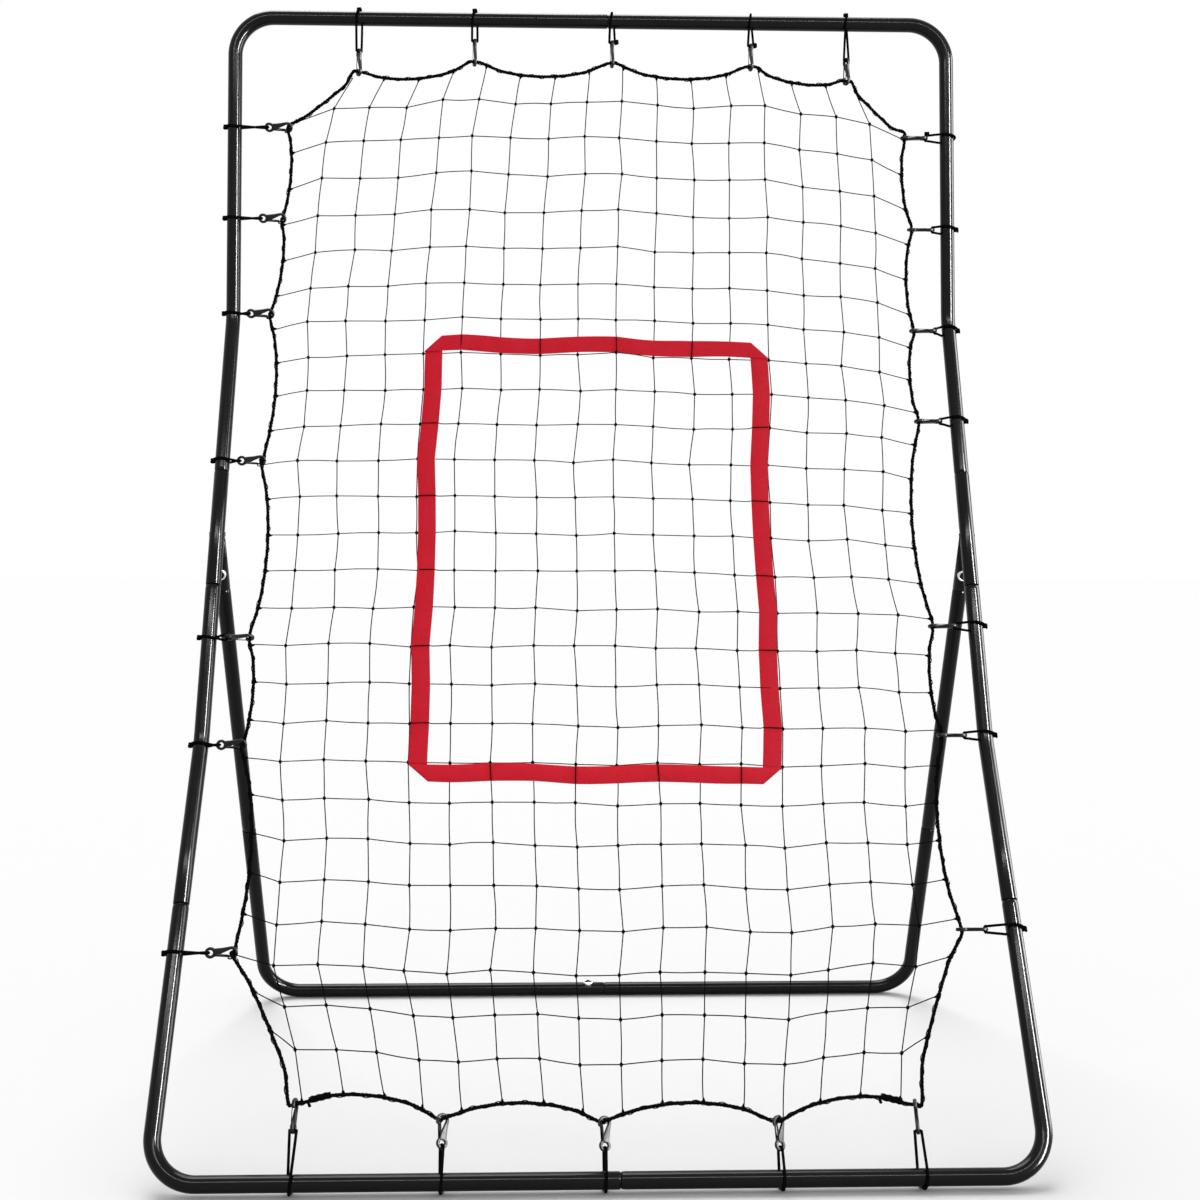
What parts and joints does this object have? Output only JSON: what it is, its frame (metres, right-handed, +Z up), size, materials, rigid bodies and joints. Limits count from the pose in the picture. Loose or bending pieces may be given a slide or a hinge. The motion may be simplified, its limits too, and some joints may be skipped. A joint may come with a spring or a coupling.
{
  "type": "pitching target net",
  "caption": "Leaning round-tube frame on a rear stand, with a square-mesh net hung inside it on elastic hook ties and a webbing rectangle that marks the strike zone.",
  "frame": {"origin": "on the floor, under the middle of the whole object", "axes": "+X to the thrower's right, +Y away from the thrower towards the rear stand, +Z up"},
  "size_m": [0.9218, 0.6538, 1.3055],
  "materials": {
    "black_paint": "gloss black baked paint on thin steel tube",
    "zinc_plate": "bright zinc plate",
    "spring_steel": "dull spring strip",
    "black_twine": "knotted twisted polyethylene twine",
    "black_rope": "three-strand polyethylene border rope",
    "black_nylon": "satin moulded nylon; the ties' elastic cords share the slot",
    "red_webbing": "flat woven polyester webbing"
  },
  "bodies": {
    "frame": {"border_rope": "black_rope", "bottom_corner_tube_left": "black_paint", "bottom_corner_tube_right": "black_paint", "button_spring_left": "spring_steel", "button_spring_rear_bar": "spring_steel", "button_spring_right": "spring_steel", "lower_side_tube_left": "black_paint", "lower_side_tube_right": "black_paint", "net_panel": "black_twine", "rope_join_whipping": "black_twine", "rope_mend_whipping": "black_twine", "saddle_washer_left": "zinc_plate", "saddle_washer_rear_bar": "zinc_plate", "saddle_washer_right": "zinc_plate", "side_connector_left": "black_paint", "side_connector_right": "black_paint", "stand_foot_tube_left": "black_paint", "stand_foot_tube_right": "black_paint", "stand_leg_left": "black_paint", "stand_leg_right": "black_paint", "strike_strap_bottom": "red_webbing", "strike_strap_left": "red_webbing", "strike_strap_right": "red_webbing", "strike_strap_top": "red_webbing", "tie_bottom_1": "black_nylon", "tie_bottom_2": "black_nylon", "tie_bottom_3": "black_nylon", "tie_bottom_4": "black_nylon", "tie_bottom_5": "black_nylon", "tie_left_1": "black_nylon", "tie_left_2": "black_nylon", "tie_left_3": "black_nylon", "tie_left_4": "black_nylon", "tie_left_5": "black_nylon", "tie_left_6": "black_nylon", "tie_left_7": "black_nylon", "tie_right_1": "black_nylon", "tie_right_2": "black_nylon", "tie_right_3": "black_nylon", "tie_right_4": "black_nylon", "tie_right_5": "black_nylon", "tie_right_6": "black_nylon", "tie_right_7": "black_nylon", "tie_top_1": "black_nylon", "tie_top_2": "black_nylon", "tie_top_3": "black_nylon", "tie_top_4": "black_nylon", "tie_top_5": "black_nylon", "upper_corner_tube_left": "black_paint", "upper_corner_tube_right": "black_paint"},
    "button_left": {"snap_button_left": "black_nylon"},
    "button_right": {"snap_button_right": "black_nylon"},
    "button_rear_bar": {"snap_button_rear_bar": "black_nylon"}
  },
  "joints": [
    {"name": "button_left_press", "type": "slide", "parent": "frame", "child": "button_left", "axis": [0, 0.9164, 0.4003], "range_m": [0, 0.005], "stiffness_N_per_m": 1500},
    {"name": "button_right_press", "type": "slide", "parent": "frame", "child": "button_right", "axis": [0, 0.9164, 0.4003], "range_m": [0, 0.005], "stiffness_N_per_m": 1500},
    {"name": "button_rear_bar_press", "type": "slide", "parent": "frame", "child": "button_rear_bar", "axis": [0, 0, -1], "range_m": [0, 0.005], "stiffness_N_per_m": 1500}
  ]
}
